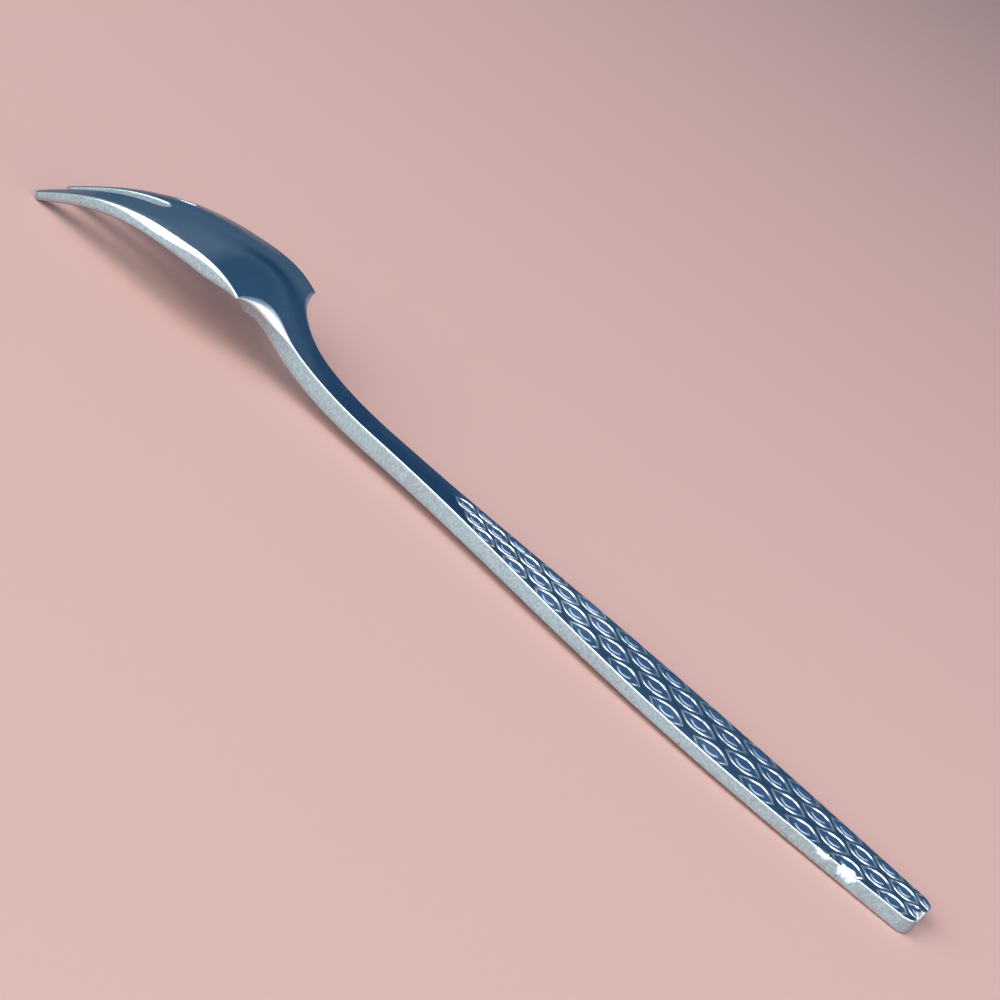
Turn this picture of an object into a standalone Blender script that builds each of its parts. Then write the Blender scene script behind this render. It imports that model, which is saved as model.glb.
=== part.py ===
"""A salad fork struck from one blank of stainless steel, lying face down.

The blank's outline is drawn flat, its edges are rounded, and the sheet is then formed:
its thickness is graded along the fork, the head is arched and crowned, and the tine tips
come back down to the surface that the handle's end lies on. Both faces of the handle are
struck with a lattice of leaves, each a raised rim round a shallow dish with a small eye.
X runs from the tine tips to the handle's end, Y across the fork, and Z up, out of its back.
"""

import math

import bpy
import numpy as np
from mathutils import Vector
from mathutils.geometry import delaunay_2d_cdt

MM = 0.001

# Plan of the blank: the head.
HEAD_LENGTH = 39.04 * MM
HEAD_WIDTH = 21.45 * MM
BELLY_FROM_SHOULDER = 11.7 * MM
SHOULDER_WIDTH = 20.7 * MM
TINE_LENGTH = 19.65 * MM
TINE_PITCH = 6.9 * MM
TINE_TIP_RADIUS = 1.25 * MM
SLOT_WIDTH = 2.5 * MM
SLOT_PITCH = 7.2 * MM

# Plan of the blank: neck and handle, each width at the far end of its length.
NECK_LENGTH = 20.5 * MM
NECK_WIDTH = 5.4 * MM
SWEEP_FALL = 3.0 * MM
SHANK_LENGTH = 20.0 * MM
SHANK_WIDTH = 6.2 * MM
FLARE_LENGTH = 26.0 * MM
FLARE_WIDTH = 10.9 * MM
SWELL_LENGTH = 29.0 * MM
SWELL_WIDTH = 13.06 * MM
TAPER_LENGTH = 34.0 * MM
END_WIDTH = 8.95 * MM
END_CORNER_RADIUS = 2.0 * MM

# Side view: heights of the plain underside on the middle line, measured from its handle end.
TIP_LIFT = 0.4 * MM
TINE_ARCH = 6.03 * MM
ROOT_ARCH = 9.52 * MM
BOWL_ARCH = 10.74 * MM
BOWL_FROM_SHOULDER = 9.5 * MM
SHOULDER_ARCH = 9.42 * MM
NECK_ARCH = 5.26 * MM
NECK_ARCH_FROM_SHOULDER = 6.5 * MM
FOOT_ARCH = 2.91 * MM
FOOT_FROM_SHOULDER = 13.0 * MM
SHANK_LIFT = 1.41 * MM
FLAT_FROM_NECK = 8.0 * MM
HEAD_CROWN_RADIUS = 34.1 * MM

# Thickness of the steel on the middle line, graded along the fork, and the handle's domed back.
TIP_THICKNESS = 0.94 * MM
TINE_THICKNESS = 2.36 * MM
BOWL_THICKNESS = 2.87 * MM
NECK_THICKNESS = 2.91 * MM
SWELL_THICKNESS = 2.15 * MM
END_THICKNESS = 2.45 * MM
BACK_DOME_RADIUS = 78.0 * MM

# Rounding of the edges: broad round the head's back, less round its front, slight on the handle.
HEAD_BACK_ROUNDING = 1.5 * MM
HEAD_FRONT_ROUNDING = 0.5 * MM
HANDLE_ROUNDING = 0.16 * MM
BACK_ROUNDING_SHARE = 0.55
FRONT_ROUNDING_SHARE = 0.35
ROUNDING_STEPS = 3

# The front face rises to a thin edge at the pointed shoulders.
SHOULDER_EDGE = 0.6 * MM
THIN_BEFORE_SHOULDER = 6.5 * MM
THIN_AFTER_SHOULDER = 2.6 * MM
THIN_REACH = 2.6 * MM

# Leaf lattice: columns of leaves in turn on even and odd rows. Sizes at no width, and how much
# each grows with half the handle's width.
LATTICE_FROM_SHANK = 3.6 * MM
COLUMN_STEP = 1.98 * MM
COLUMN_STEP_GROWTH = 0.316
LEAF_LENGTH = 2.0 * MM
LEAF_LENGTH_GROWTH = 0.73
LEAF_HEIGHT = 2.05 * MM
LEAF_HEIGHT_GROWTH = 0.305
EVEN_ROWS = (-0.79, 0.21)
ODD_ROWS = (-0.29, 0.71)
FIELD_EDGE = 0.3 * MM

# One leaf's relief, at levels from its middle (0) out to its edge (1).
EYE_LEVEL = 0.3
DISH_LEVEL = 0.7
RIM_LEVEL = 0.87
EYE_RISE = 0.1 * MM
DISH_SINK = 0.04 * MM
RIM_RISE = 0.16 * MM

# Spacing of the mesh.
SIDE_STEP = 4.0 * MM
CURVE_STEP = 1.5 * MM
ARC_STEPS = 6
LEAF_POINTS = 12
SHEET_STEP = 2.3 * MM
SHEET_CLEARANCE = 1.2 * MM
FINE_STEPS = 120
SLOPE_STEP = 0.1 * MM
SNAP = 1e-6
SMOOTH_ANGLE = math.radians(40.0)

STEEL_COLOUR = (0.56, 0.58, 0.60, 1.0)
STEEL_ROUGHNESS = 0.22

# Places along the fork, from the tine tips.
NECK = HEAD_LENGTH + NECK_LENGTH
SHANK = NECK + SHANK_LENGTH
FLARE = SHANK + FLARE_LENGTH
SWELL = FLARE + SWELL_LENGTH
FORK_LENGTH = SWELL + TAPER_LENGTH
LATTICE = SHANK + LATTICE_FROM_SHANK
FLAT = NECK + FLAT_FROM_NECK
FLAT_SLOPE = -SHANK_LIFT / (FORK_LENGTH - FLAT)


def cubic_curve(knots, start_slope=None, end_slope=None):
    """A smooth curve through (place, value) knots; a slope left out makes that end straight."""
    knots = sorted(knots)
    x = np.array([place for place, _ in knots])
    y = np.array([value for _, value in knots])
    gap = np.diff(x)
    rise = np.diff(y) / gap
    rows = np.zeros((len(x), len(x)))
    right = np.zeros(len(x))
    for i in range(1, len(x) - 1):
        rows[i, i - 1:i + 2] = gap[i], 2.0 * (gap[i - 1] + gap[i]), gap[i - 1]
        right[i] = 3.0 * (gap[i] * rise[i - 1] + gap[i - 1] * rise[i])
    rows[0, :2] = (2.0, 1.0) if start_slope is None else (1.0, 0.0)
    right[0] = 3.0 * rise[0] if start_slope is None else start_slope
    rows[-1, -2:] = (1.0, 2.0) if end_slope is None else (0.0, 1.0)
    right[-1] = 3.0 * rise[-1] if end_slope is None else end_slope
    slope = np.linalg.solve(rows, right)

    def value_at(place):
        i = int(np.clip(np.searchsorted(x, place) - 1, 0, len(gap) - 1))
        t = (place - x[i]) / gap[i]
        ease = t * t * (3.0 - 2.0 * t)
        bend = t * (1.0 - t) * (slope[i] * (1.0 - t) - slope[i + 1] * t) * gap[i]
        return float(y[i] + (y[i + 1] - y[i]) * ease + bend)

    return value_at


head_side = cubic_curve([
    (TINE_TIP_RADIUS, TINE_PITCH + TINE_TIP_RADIUS),
    (HEAD_LENGTH - BELLY_FROM_SHOULDER, HEAD_WIDTH / 2),
    (HEAD_LENGTH, SHOULDER_WIDTH / 2),
])

handle_side = cubic_curve([
    (NECK, NECK_WIDTH / 2),
    (SHANK, SHANK_WIDTH / 2),
    (FLARE, FLARE_WIDTH / 2),
    (SWELL, SWELL_WIDTH / 2),
    (FORK_LENGTH, END_WIDTH / 2),
], start_slope=0.0)

arch = cubic_curve([
    (0.0, TIP_LIFT),
    (TINE_LENGTH / 2, TINE_ARCH),
    (TINE_LENGTH, ROOT_ARCH),
    (HEAD_LENGTH - BOWL_FROM_SHOULDER, BOWL_ARCH),
    (HEAD_LENGTH, SHOULDER_ARCH),
    (HEAD_LENGTH + NECK_ARCH_FROM_SHOULDER, NECK_ARCH),
    (HEAD_LENGTH + FOOT_FROM_SHOULDER, FOOT_ARCH),
    (FLAT, SHANK_LIFT),
], end_slope=FLAT_SLOPE)

thickness = cubic_curve([
    (0.0, TIP_THICKNESS),
    (TINE_LENGTH, TINE_THICKNESS),
    (HEAD_LENGTH, BOWL_THICKNESS),
    (FLAT, NECK_THICKNESS),
    (SWELL, SWELL_THICKNESS),
    (FORK_LENGTH, END_THICKNESS),
])


def neck_fade(place):
    """One as far as the shoulders, nought from the neck on, and smooth between them."""
    t = min(max((place - HEAD_LENGTH) / NECK_LENGTH, 0.0), 1.0)
    return 1.0 - t * t * (3.0 - 2.0 * t)


def side(place):
    """Half the blank's width behind the shoulders: a sweep that dies out into neck and handle."""
    plain = handle_side(max(place, NECK))
    return plain + (SHOULDER_WIDTH / 2 - plain) * math.exp((HEAD_LENGTH - place) / SWEEP_FALL)


def underside(place):
    """Height of the underside on the middle line: arched head, then straight to the end."""
    if place < FLAT:
        return arch(place)
    return SHANK_LIFT + FLAT_SLOPE * (place - FLAT)


def back_depth(place, across):
    """Steel between the underside and the plain back, less towards the edges of the handle."""
    dome = across * across / (2.0 * BACK_DOME_RADIUS)
    return thickness(place) - (1.0 - neck_fade(place)) * dome


def thinning(place):
    """How far the edge has thinned: one at the shoulders, nought away from them."""
    if place < HEAD_LENGTH:
        t = max(1.0 - (HEAD_LENGTH - place) / THIN_BEFORE_SHOULDER, 0.0)
        return t * t
    t = max(1.0 - (place - HEAD_LENGTH) / THIN_AFTER_SHOULDER, 0.0)
    return t * t * (3.0 - 2.0 * t)


def front_lift(place, across):
    """Rise of the front face towards the thin edge at the shoulders."""
    half = head_side(place) if place < HEAD_LENGTH else side(place)
    from_edge = max(half - abs(across), 0.0) / THIN_REACH
    return thinning(place) * (thickness(place) - SHOULDER_EDGE) * math.exp(-from_edge * from_edge)


def rounding(place, head_radius, share):
    """Radius of the edge, never more than a share of the steel's thickness there."""
    edge = thickness(place) - thinning(place) * (thickness(place) - SHOULDER_EDGE)
    return min(HANDLE_ROUNDING + (head_radius - HANDLE_ROUNDING) * neck_fade(place), share * edge)


def all_leaves():
    """Every leaf of the lattice as its middle's place and offset, half its length, half its height."""
    leaves = []
    place = LATTICE
    column = 0
    while place < FORK_LENGTH:
        half = side(place)
        rows = ODD_ROWS if column % 2 else EVEN_ROWS
        # The first column stands where the handle is too narrow for its outer leaf.
        for row in rows if column else rows[-1:]:
            length = LEAF_LENGTH + LEAF_LENGTH_GROWTH * half
            height = LEAF_HEIGHT + LEAF_HEIGHT_GROWTH * half
            leaves.append((place, row * half, length / 2, height / 2))
        place += COLUMN_STEP + COLUMN_STEP_GROWTH * half
        column += 1
    return np.array(leaves)


LEAVES = all_leaves()


def relief(place, across):
    """Height of the struck leaves above the plain face."""
    run = (place - LEAVES[:, 0]) / LEAVES[:, 2]
    rise = np.abs(across - LEAVES[:, 1]) / LEAVES[:, 3]
    level = np.min(rise + np.sqrt(rise * rise + 4.0 * run * run)) / 2.0
    levels = (0.0, EYE_LEVEL, DISH_LEVEL, RIM_LEVEL, 1.0)
    return float(np.interp(level, levels, (EYE_RISE, -DISH_SINK, -DISH_SINK, RIM_RISE, 0.0)))


def spaced(points, step):
    """Points at even steps along a run of points, its first point left out."""
    run = np.array(points)
    along = np.concatenate([[0.0], np.cumsum(np.linalg.norm(np.diff(run, axis=0), axis=1))])
    marks = np.linspace(0.0, along[-1], max(round(along[-1] / step), 2) + 1)[1:]
    return list(zip(np.interp(marks, along, run[:, 0]), np.interp(marks, along, run[:, 1])))


def on_circle(centre, radius, angle):
    """The point of a circle at an angle in radians."""
    return centre[0] + radius * math.cos(angle), centre[1] + radius * math.sin(angle)


def arc(centre, radius, start, end):
    """Points on an arc between two angles in radians, its first point left out."""
    return [on_circle(centre, radius, a) for a in np.linspace(start, end, ARC_STEPS + 1)[1:]]


def inner_tangent(tip, root, turn):
    """Angle, from a tine tip's middle, of the straight edge that leads on round the slot's root."""
    along = math.atan2(root[1] - tip[1], root[0] - tip[0])
    return along + turn * math.acos((TINE_TIP_RADIUS + SLOT_WIDTH / 2) / math.dist(tip, root))


def half_outline():
    """The blank's edge on the +Y side, from the handle's end to the tip of the middle tine."""
    corner_place = FORK_LENGTH - END_CORNER_RADIUS
    corner = (corner_place, side(corner_place) - END_CORNER_RADIUS)
    points = [on_circle(corner, END_CORNER_RADIUS, 0.0)]
    points += arc(corner, END_CORNER_RADIUS, 0.0, math.pi / 2)
    for start, end, step in ((corner_place, NECK, SIDE_STEP), (NECK, HEAD_LENGTH, CURVE_STEP)):
        points += spaced([(x, side(x)) for x in np.linspace(start, end, FINE_STEPS)], step)

    head = np.linspace(HEAD_LENGTH, TINE_TIP_RADIUS, FINE_STEPS)
    points += spaced([(x, head_side(x)) for x in head], CURVE_STEP)
    outer_tip = (TINE_TIP_RADIUS, TINE_PITCH)
    middle_tip = (TINE_TIP_RADIUS, 0.0)
    root = (TINE_LENGTH - SLOT_WIDTH / 2, SLOT_PITCH / 2)
    outer = inner_tangent(outer_tip, root, -1.0)
    middle = inner_tangent(middle_tip, root, 1.0)
    points += arc(outer_tip, TINE_TIP_RADIUS, math.pi / 2, outer + 2.0 * math.pi)
    root_start = on_circle(root, SLOT_WIDTH / 2, outer + math.pi)
    points += spaced([points[-1], root_start], CURVE_STEP)
    points += arc(root, SLOT_WIDTH / 2, outer + math.pi, middle - math.pi)
    tip_start = on_circle(middle_tip, TINE_TIP_RADIUS, middle)
    points += spaced([points[-1], tip_start], CURVE_STEP)
    return points + arc(middle_tip, TINE_TIP_RADIUS, middle, math.pi)


def whole_outline():
    """Both halves of the blank's edge, counter-clockwise seen from above."""
    half = half_outline()
    return half + [(x, -y) for x, y in reversed(half[:-1])]


def inset(outline, distances):
    """The outline moved inwards, each point by its own distance, with mitred corners."""
    points = np.array(outline)
    before = points - np.roll(points, 1, axis=0)
    after = np.roll(points, -1, axis=0) - points
    inward = []
    for edge in (before, after):
        length = np.linalg.norm(edge, axis=1)[:, None]
        inward.append(np.stack([-edge[:, 1], edge[:, 0]], axis=1) / length)
    mitre = (inward[0] + inward[1]) / (1.0 + np.sum(inward[0] * inward[1], axis=1))[:, None]
    return points + mitre * np.array(distances)[:, None]


def is_inside(point, outline):
    """Whether a point lies inside a closed outline."""
    x, y = point
    ends = np.roll(outline, -1, axis=0)
    crosses = (outline[:, 1] > y) != (ends[:, 1] > y)
    run = np.where(crosses, ends[:, 1] - outline[:, 1], 1.0)
    cut = outline[:, 0] + (y - outline[:, 1]) * (ends[:, 0] - outline[:, 0]) / run
    return np.count_nonzero(crosses & (x < cut)) % 2 == 1


def sheet_points(border):
    """Points inside the border for the plain sheet to bend at, kept clear of edge and leaves."""
    rows = int(HEAD_WIDTH / 2 / SHEET_STEP)
    plain_end = np.min(LEAVES[:, 0] - LEAVES[:, 2]) - SHEET_CLEARANCE
    found = []
    for x in np.arange(SHEET_STEP, plain_end, SHEET_STEP):
        for row in range(-rows, rows + 1):
            point = np.array((x, row * SHEET_STEP))
            clear = np.min(np.linalg.norm(border - point, axis=1)) > SHEET_CLEARANCE
            if clear and is_inside(point, border):
                found.append(tuple(point))
    return found


def leaf_lines(field):
    """Lines for the sheet to bend along: each leaf's loops, cut off at the edge of the field."""
    lines = []
    turns = np.linspace(0.0, 2.0 * math.pi, LEAF_POINTS + 1)
    for place, across, length, height in LEAVES:
        if is_inside((place, across), field):
            lines.append([(place, across)])
        for level in (EYE_LEVEL, DISH_LEVEL, RIM_LEVEL, 1.0):
            x = place + level * length * np.cos(turns)
            y = across + level * height * np.sin(turns) * np.abs(np.sin(turns))
            line = []
            for point, following in zip(zip(x, y), list(zip(x, y))[1:]):
                kept = [is_inside(p, field) for p in (point, following)]
                if all(kept):
                    line += [following] if line else [point, following]
                elif any(kept):
                    edge = edge_point(point, following, field)
                    line += [edge] if kept[0] else [edge, following]
                if line and not kept[1]:
                    lines.append(line)
                    line = []
            if line:
                lines.append(line)
    return lines


def edge_point(start, end, field):
    """Where the straight line between two points crosses the edge of the field."""
    inner, outer = np.array(start), np.array(end)
    if not is_inside(inner, field):
        inner, outer = outer, inner
    while np.linalg.norm(outer - inner) > SNAP:
        middle = (inner + outer) / 2.0
        if is_inside(middle, field):
            inner = middle
        else:
            outer = middle
    return tuple(inner)


def triangulated(border, field):
    """The flat sheet inside the border, as points and triangles; the border's points come first."""
    plan = [tuple(p) for p in border] + sheet_points(border)
    edges = [(i, (i + 1) % len(border)) for i in range(len(border))]
    for line in leaf_lines(field):
        edges += [(len(plan) + i, len(plan) + i + 1) for i in range(len(line) - 1)]
        plan += line
    flat = [Vector((x / MM, y / MM)) for x, y in plan]
    found, _, faces, origins, _, _ = delaunay_2d_cdt(flat, edges, [], 0, SNAP / MM, True)

    # Points that the triangulation merged or added are numbered on after the border's own.
    sheet = plan[:len(border)]
    number = []
    for point, sources in zip(found, origins):
        if sources and min(sources) < len(border):
            number.append(min(sources))
        else:
            number.append(len(sheet))
            sheet.append((point.x * MM, point.y * MM))
    triangles = [[number[i] for i in face] for face in faces]
    middles = [np.mean([sheet[i] for i in triangle], axis=0) for triangle in triangles]
    return sheet, [t for t, middle in zip(triangles, middles) if is_inside(middle, border)]


def formed(place, across, depth):
    """A point of the flat blank, depth above its underside, carried to the formed fork."""
    rise = underside(place + SLOPE_STEP) - underside(place - SLOPE_STEP)
    slope = rise / (2.0 * SLOPE_STEP)
    length = math.hypot(1.0, slope)
    crown = neck_fade(place) * across * across / (2.0 * HEAD_CROWN_RADIUS)
    return place - depth * slope / length, across, underside(place) - crown + depth / length


def fork_mesh():
    """The closed skin of the fork: two sheets joined by the rounded edge between them."""
    outline = whole_outline()
    back_radii = [rounding(x, HEAD_BACK_ROUNDING, BACK_ROUNDING_SHARE) for x, _ in outline]
    front_radii = [rounding(x, HEAD_FRONT_ROUNDING, FRONT_ROUNDING_SHARE) for x, _ in outline]
    field = inset(outline, [radius + FIELD_EDGE for radius in back_radii])
    vertices = []
    faces = []
    borders = []
    for radii in (back_radii, front_radii):
        sheet, triangles = triangulated(inset(outline, radii), field)
        borders.append([len(vertices) + i for i in range(len(outline))])
        heights = [0.0] * len(outline) + [relief(x, y) for x, y in sheet[len(outline):]]
        if radii is back_radii:
            faces += [tuple(t) for t in triangles]
            depths = [back_depth(x, y) + h for (x, y), h in zip(sheet, heights)]
        else:
            faces += [tuple(len(vertices) + i for i in reversed(t)) for t in triangles]
            depths = [front_lift(x, y) - h for (x, y), h in zip(sheet, heights)]
        vertices += [formed(x, y, depth) for (x, y), depth in zip(sheet, depths)]

    # The edge's rings run from the back sheet's border down to the front's.
    turns = np.linspace(0.0, math.pi / 2, ROUNDING_STEPS + 1)[1:]
    rings = [borders[0]]
    for radii, angles in ((back_radii, turns), (front_radii, turns[::-1])):
        for angle in angles:
            ring = inset(outline, [r * (1.0 - math.sin(angle)) for r in radii])
            drops = [r * (1.0 - math.cos(angle)) for r in radii]
            rings.append([len(vertices) + i for i in range(len(ring))])
            for (x, y), drop in zip(ring, drops):
                depth = back_depth(x, y) - drop if radii is back_radii else front_lift(x, y) + drop
                vertices.append(formed(x, y, depth))
    rings.append(borders[1])
    for upper, lower in zip(rings, rings[1:]):
        for i in range(len(outline)):
            j = (i + 1) % len(outline)
            faces.append((upper[j], upper[i], lower[i], lower[j]))

    mesh = bpy.data.meshes.new("fork")
    mesh.from_pydata(vertices, [], faces)
    return mesh


def stainless_steel():
    """Polished stainless steel."""
    material = bpy.data.materials.new("stainless_steel")
    material.use_nodes = True
    shader = material.node_tree.nodes["Principled BSDF"]
    shader.inputs["Base Color"].default_value = STEEL_COLOUR
    shader.inputs["Metallic"].default_value = 1.0
    shader.inputs["Roughness"].default_value = STEEL_ROUGHNESS
    return material


def main():
    """Build the fork and stand it on Z = 0, centred on the middle of its box."""
    for old in list(bpy.data.objects):
        bpy.data.objects.remove(old, do_unlink=True)
    mesh = fork_mesh()
    low = [min(v.co[i] for v in mesh.vertices) for i in range(3)]
    high = [max(v.co[i] for v in mesh.vertices) for i in range(3)]
    move = Vector((-(low[0] + high[0]) / 2, 0.0, -low[2]))
    for vertex in mesh.vertices:
        vertex.co += move
    mesh.shade_smooth()
    mesh.set_sharp_from_angle(angle=SMOOTH_ANGLE)
    mesh.materials.append(stainless_steel())
    fork = bpy.data.objects.new("fork", mesh)
    bpy.context.scene.collection.objects.link(fork)


main()
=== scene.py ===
# %% [markdown]
# # A salad fork, lying face down
#
# The real fork is struck from one piece of stainless steel: a flat blank is cut, both faces of the
# handle are struck with leaves, the edges are rounded and the head is bent in a press. This lesson
# follows the same order. It draws the blank flat, strikes the leaves, closes the edges, and bends
# the whole blank at the end.

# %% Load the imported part
import math

import bpy
import numpy as np
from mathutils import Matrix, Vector


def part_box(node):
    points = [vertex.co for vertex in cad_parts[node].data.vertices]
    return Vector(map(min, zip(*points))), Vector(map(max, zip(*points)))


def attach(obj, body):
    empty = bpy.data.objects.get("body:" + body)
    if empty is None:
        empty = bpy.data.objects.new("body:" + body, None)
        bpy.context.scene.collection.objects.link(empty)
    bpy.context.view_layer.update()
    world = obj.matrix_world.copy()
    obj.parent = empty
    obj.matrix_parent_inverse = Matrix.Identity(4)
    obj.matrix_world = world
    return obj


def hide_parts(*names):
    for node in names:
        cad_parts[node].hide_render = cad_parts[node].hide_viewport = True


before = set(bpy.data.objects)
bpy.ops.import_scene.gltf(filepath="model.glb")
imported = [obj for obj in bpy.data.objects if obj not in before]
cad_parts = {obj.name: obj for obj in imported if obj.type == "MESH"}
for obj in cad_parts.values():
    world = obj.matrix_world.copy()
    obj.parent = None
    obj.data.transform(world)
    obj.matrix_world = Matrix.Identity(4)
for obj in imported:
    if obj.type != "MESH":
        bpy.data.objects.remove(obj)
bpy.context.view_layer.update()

MM = 0.001

# %% [markdown]
# ## The camera
#
# The photograph looks along the fork from above its near side, with a long lens. A lens of 79 mm
# on a 36 mm sensor gives the same mild perspective. The place and the turn come from fitting the
# part's edges to the photographed ones.

# %% Set up the camera
CAMERA_PLACE = (0.09989, -0.27344, 0.12474)
CAMERA_TURN = (64.5099, -30.1919, 32.9422)
LENS, SENSOR = 79.2, 36.0
NEAREST = 0.01

bpy.ops.object.camera_add(location=CAMERA_PLACE, rotation=[math.radians(a) for a in CAMERA_TURN])
camera = bpy.context.object
camera.name = "camera"
camera.data.lens = LENS
camera.data.sensor_width = SENSOR
camera.data.clip_start = NEAREST
bpy.context.scene.camera = camera
print("camera distance:", round(camera.location.length, 4))

# %% [markdown]
# ## The sizes of the blank
#
# All sizes are measured from the tine tips. A smooth curve through a few knots gives the widths,
# the side view and the thickness, as a draughtsman bends a thin batten through a few pins. The same
# could be drawn by hand with curve objects, but then the sizes couldn't be read off again.

# %% A batten through knots
def batten(knots, start_slope=None, end_slope=None):
    """A smooth curve through (place, value) knots in mm; an end without a slope is straight."""
    x, y = np.array(knots, float).T * MM
    gap = np.diff(x)
    rise = np.diff(y) / gap
    count = len(x)
    rows = np.zeros((count, count))
    right = np.zeros(count)
    for i in range(1, count - 1):
        rows[i, i - 1:i + 2] = gap[i], 2.0 * (gap[i - 1] + gap[i]), gap[i - 1]
        right[i] = 3.0 * (gap[i] * rise[i - 1] + gap[i - 1] * rise[i])
    rows[0, :2] = (2.0, 1.0) if start_slope is None else (1.0, 0.0)
    right[0] = 3.0 * rise[0] if start_slope is None else start_slope
    rows[-1, -2:] = (1.0, 2.0) if end_slope is None else (0.0, 1.0)
    right[-1] = 3.0 * rise[-1] if end_slope is None else end_slope
    slope = np.linalg.solve(rows, right)

    def value_at(place):
        place = np.asarray(place, float)
        i = np.clip(np.searchsorted(x, place) - 1, 0, count - 2)
        t = (place - x[i]) / gap[i]
        bend = t * (1.0 - t) * (slope[i] * (1.0 - t) - slope[i + 1] * t) * gap[i]
        return y[i] + (y[i + 1] - y[i]) * t * t * (3.0 - 2.0 * t) + bend

    return value_at


# %% Widths, side view and thickness
SHOULDER = 39.04 * MM
NECK = 59.54 * MM
FLAT = 67.54 * MM
LENGTH = 168.54 * MM
SHOULDER_HALF = 10.35 * MM
SWEEP_FALL = 3.0 * MM
SHANK_LIFT = 1.41 * MM
FLAT_SLOPE = -SHANK_LIFT / (LENGTH - FLAT)
HEAD_CROWN = 34.1 * MM
BACK_DOME = 78.0 * MM
END_CORNER = 2.0 * MM

head_side = batten([(1.25, 8.15), (27.34, 10.725), (39.04, 10.35)])
handle_side = batten([(59.54, 2.7), (79.54, 3.1), (105.54, 5.45), (134.54, 6.53), (168.54, 4.475)],
                     start_slope=0.0)
arch = batten([(0.0, 0.4), (9.825, 6.03), (19.65, 9.52), (29.54, 10.74), (39.04, 9.42),
               (45.54, 5.26), (52.04, 2.91), (67.54, 1.41)], end_slope=FLAT_SLOPE)
thickness = batten([(0.0, 1.45), (9.825, 2.05), (19.65, 2.45), (39.04, 2.87), (67.54, 2.91),
                    (134.54, 2.15), (168.54, 2.45)])


def neck_fade(place):
    """One on the head, nought from the neck on."""
    t = np.clip((place - SHOULDER) / (NECK - SHOULDER), 0.0, 1.0)
    return 1.0 - t * t * (3.0 - 2.0 * t)


def side(place):
    """Half the width behind the shoulders."""
    plain = handle_side(np.maximum(place, NECK))
    return plain + (SHOULDER_HALF - plain) * np.exp((SHOULDER - place) / SWEEP_FALL)


def underside(place):
    """Height of the underside on the middle line."""
    straight = SHANK_LIFT + FLAT_SLOPE * (place - FLAT)
    return np.where(place < FLAT, arch(np.minimum(place, FLAT)), straight)


def back_depth(place, across):
    """Steel between the underside and the plain back."""
    return thickness(place) - (1.0 - neck_fade(place)) * across * across / (2.0 * BACK_DOME)


print("half widths in mm:", [round(float(side(u * MM)) / MM, 2) for u in (60, 80, 110, 135, 168)])

# %% [markdown]
# ## Rounded edges and thin shoulders
#
# The head's outer edges are broadly rounded on the back, and the edges of the slots and the handle
# are nearly sharp. At the two pointed shoulders the hidden front rises, so that the steel runs out
# to a thin edge there. A bevel modifier has one width for the whole edge, so the width is worked out
# for every place instead.

# %% Rise of the front at the shoulders
SHOULDER_EDGE = 0.6 * MM
THIN_BEFORE = 6.5 * MM
THIN_INWARDS = 2.6 * MM
FRONT_RECOVERY = 1.6 * MM


def half_width(place):
    """Half the plain width of the whole fork."""
    return np.where(place < SHOULDER, head_side(place), side(place))


def thinning(place, recovery):
    """One at the pointed shoulders, nought away from them; behind them it ends after the recovery."""
    before = np.clip(1.0 - (SHOULDER - place) / THIN_BEFORE, 0.0, 1.0)
    after = np.clip(1.0 - (place - SHOULDER) / recovery, 0.0, 1.0)
    return np.where(place < SHOULDER, before ** 2, after * after * (3.0 - 2.0 * after))


def front_lift(place, across):
    """Rise of the front towards the thin edge."""
    from_edge = np.maximum(half_width(place) - np.abs(across), 0.0) / THIN_INWARDS
    steel_lost = thickness(place) - SHOULDER_EDGE
    return thinning(place, FRONT_RECOVERY) * steel_lost * np.exp(-from_edge ** 2)


print("front's rise at a shoulder in mm:", round(float(front_lift(SHOULDER, SHOULDER_HALF)) / MM, 2))

# %% Width of the rounding
HANDLE_EDGE = 0.16 * MM
HEAD_FRONT_MORE = 0.34 * MM
FRONT_SHARE = 0.35
ROUNDING_RECOVERY = 5.0 * MM
SLOT_EDGE = 0.3 * MM
SLOTS_END = 21.0 * MM
SLOT_ROOM = 2.0 * MM
SWEEP_END = 52.0 * MM

head_width = batten([(0.0, 0.3), (10.0, 0.45), (16.0, 0.75), (20.0, 1.35), (24.0, 1.7), (27.0, 1.45),
                     (30.0, 1.05), (34.0, 0.75), (37.0, 0.42), (39.04, 0.2)])
sweep_width = batten([(39.04, 0.2), (40.3, 0.95), (41.8, 1.5), (43.8, 1.15), (46.0, 0.45),
                      (48.5, 0.18), (52.0, 0.16)], end_slope=0.0)


def back_width(place, across):
    """Width of the rounding round the back: broad on the head's outer sides, narrow in the slots."""
    outer = np.where(place < SHOULDER, head_width(place), sweep_width(np.minimum(place, SWEEP_END)))
    in_slot = (place < SLOTS_END) & (np.abs(across) < head_side(place) - SLOT_ROOM)
    return np.where(in_slot, SLOT_EDGE, outer)


def front_width(place):
    """Width of the rounding round the front, never more than a share of the steel left there."""
    steel_lost = thinning(place, ROUNDING_RECOVERY) * (thickness(place) - SHOULDER_EDGE)
    steel_left = thickness(place) - steel_lost
    return np.minimum(HANDLE_EDGE + HEAD_FRONT_MORE * neck_fade(place), FRONT_SHARE * steel_left)


print("back's rounding in mm:", [round(float(back_width(u * MM, SHOULDER_HALF)) / MM, 2)
                                 for u in (0, 20, 39, 45, 80)])

# %% [markdown]
# ## The head of the blank
#
# The head is one sheet with two slots, which leave three tines. It could be cut from a plane by a
# Boolean, but that leaves long thin faces, and polished steel shows each of them. Grids that are
# fitted between the edges give even faces, so each tine, the bowl and the neck is a grid whose four
# sides are moved onto the outline. The grids stop short of the outline, because the rounded edge
# comes later.

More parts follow.
